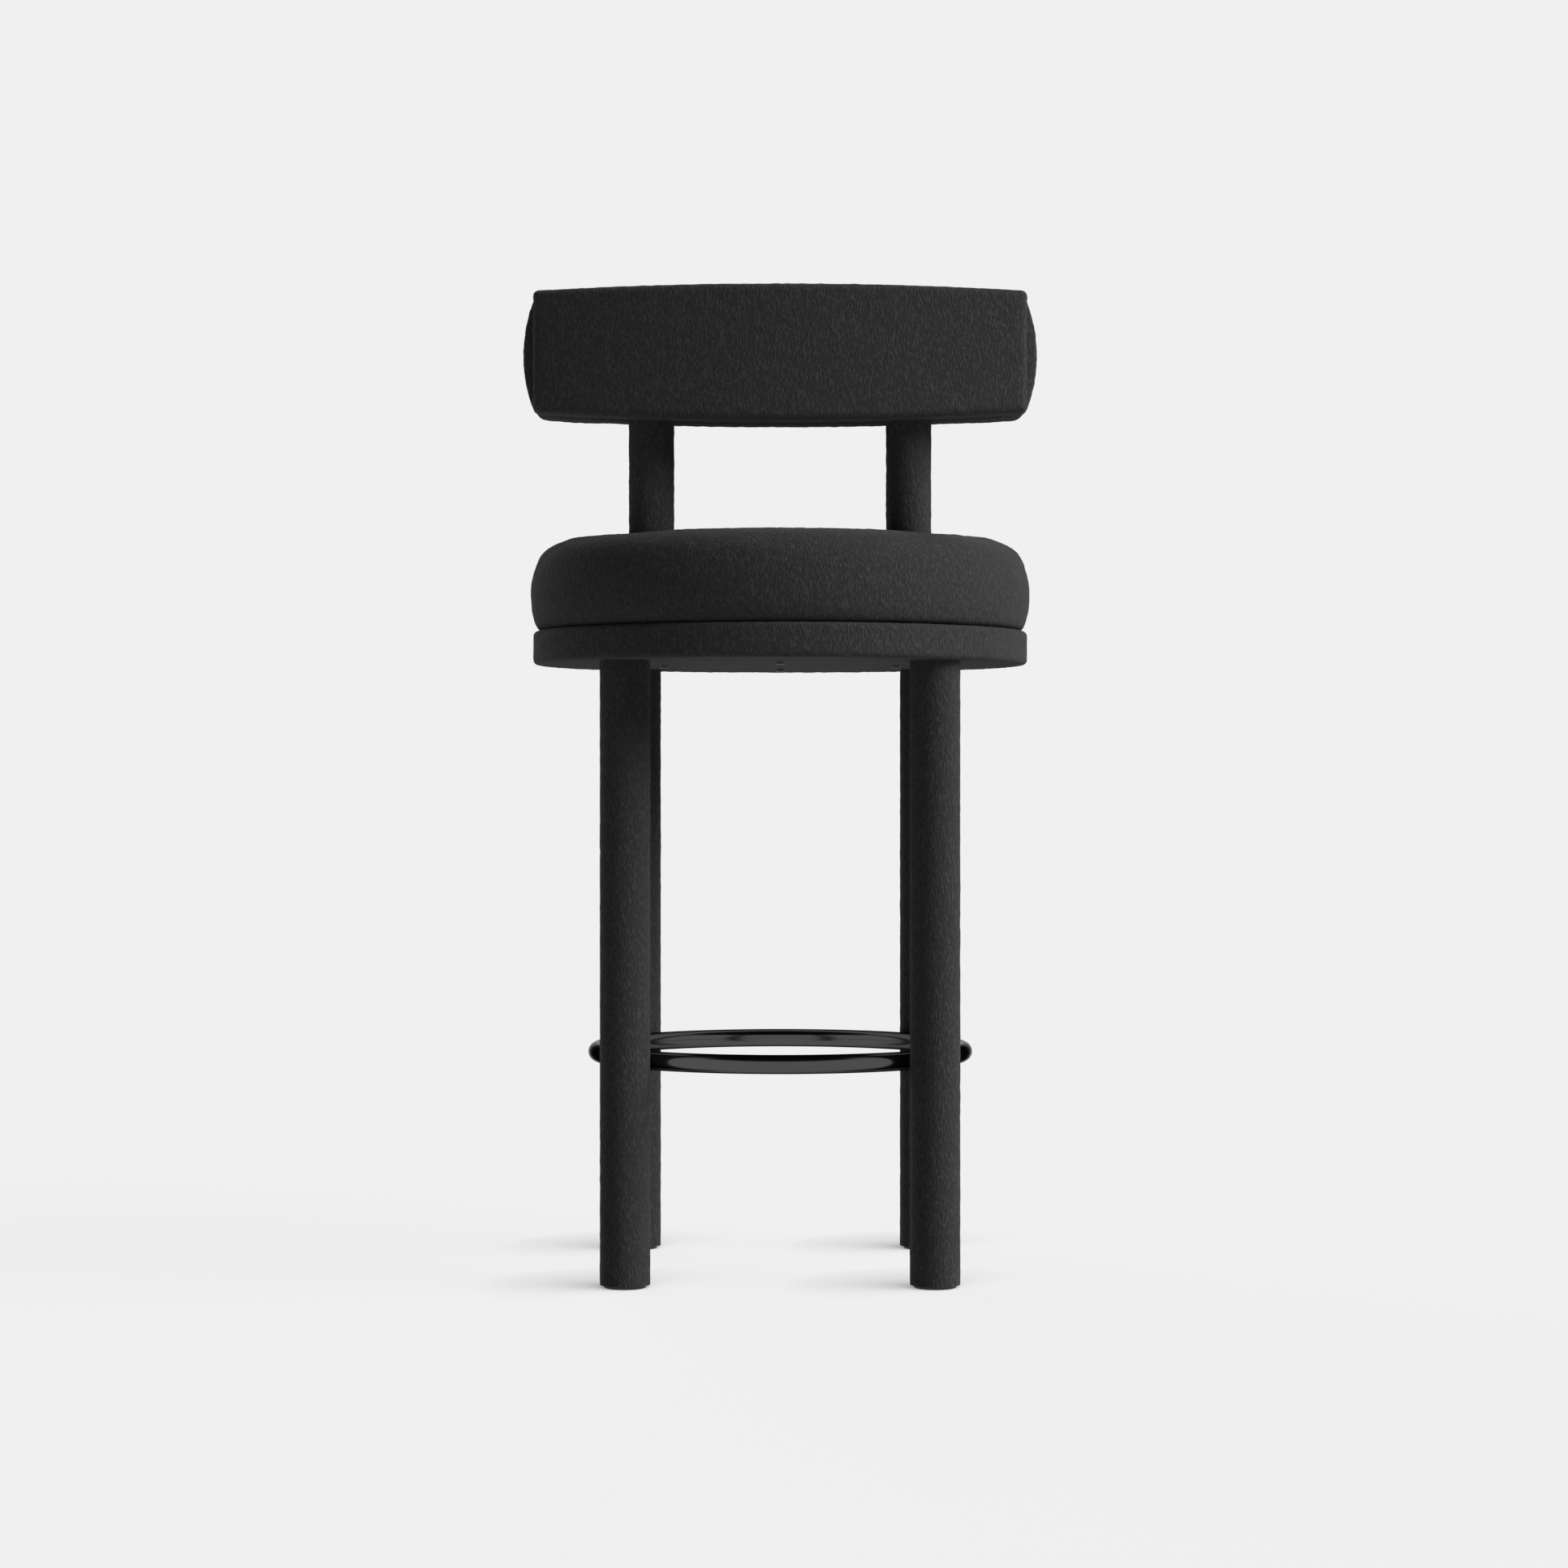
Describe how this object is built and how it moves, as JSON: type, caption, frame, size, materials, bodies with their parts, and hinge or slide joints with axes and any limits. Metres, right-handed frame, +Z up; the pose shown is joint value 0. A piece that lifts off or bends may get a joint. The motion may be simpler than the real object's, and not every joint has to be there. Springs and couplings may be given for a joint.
{
  "type": "bar stool",
  "caption": "Upholstered bar stool with a round padded seat, straight round legs, a ring footrest and a curved padded back on posts.",
  "frame": {"origin": "on the floor under the middle of the seat", "axes": "+Z up, -Y the way the sitter faces, +X the sitter's left; the back is on the +Y side"},
  "size_m": [0.518, 0.518, 0.991],
  "materials": {
    "boucle": "charcoal looped boucle",
    "black_steel": "satin black coating",
    "black_nickel": "black nickel plated, satin",
    "zinc_steel": "zinc plated",
    "beech": "turned, unfinished",
    "plywood": "sanded birch plywood",
    "foam": "open-cell upholstery foam",
    "nylon": "moulded nylon"
  },
  "bodies": {
    "root": {"leg_core_rear_left": "beech", "leg_sleeve_rear_left": "boucle", "leg_glide_rear_left": "nylon", "leg_insert_rear_left": "zinc_steel", "leg_bolt_rear_left": "zinc_steel", "ring_bolt_rear_left": "zinc_steel", "ring_rivet_nut_rear_left": "zinc_steel", "leg_core_rear_right": "beech", "leg_sleeve_rear_right": "boucle", "leg_glide_rear_right": "nylon", "leg_insert_rear_right": "zinc_steel", "leg_bolt_rear_right": "zinc_steel", "ring_bolt_rear_right": "zinc_steel", "ring_rivet_nut_rear_right": "zinc_steel", "leg_core_front_right": "beech", "leg_sleeve_front_right": "boucle", "leg_glide_front_right": "nylon", "leg_insert_front_right": "zinc_steel", "leg_bolt_front_right": "zinc_steel", "ring_bolt_front_right": "zinc_steel", "ring_rivet_nut_front_right": "zinc_steel", "leg_core_front_left": "beech", "leg_sleeve_front_left": "boucle", "leg_glide_front_left": "nylon", "leg_insert_front_left": "zinc_steel", "leg_bolt_front_left": "zinc_steel", "ring_bolt_front_left": "zinc_steel", "ring_rivet_nut_front_left": "zinc_steel", "footrest_ring": "black_nickel", "seat_base_board": "plywood", "seat_base_cover": "boucle", "seat_cushion_board": "plywood", "seat_cushion_foam": "foam", "seat_cushion_cover": "boucle", "cushion_screw_1": "black_steel", "cushion_screw_2": "black_steel", "cushion_screw_3": "black_steel", "cushion_screw_4": "black_steel", "post_tube_left": "black_steel", "post_sleeve_left": "boucle", "flange_screw_left_1": "zinc_steel", "flange_screw_left_2": "zinc_steel", "flange_screw_left_3": "zinc_steel", "back_screw_left_1": "zinc_steel", "back_screw_left_2": "zinc_steel", "post_tube_right": "black_steel", "post_sleeve_right": "boucle", "flange_screw_right_1": "zinc_steel", "flange_screw_right_2": "zinc_steel", "flange_screw_right_3": "zinc_steel", "back_screw_right_1": "zinc_steel", "back_screw_right_2": "zinc_steel", "back_board": "plywood", "back_board_cover": "boucle", "back_pad_foam": "foam", "back_pad_cover": "boucle"}
  },
  "joints": []
}
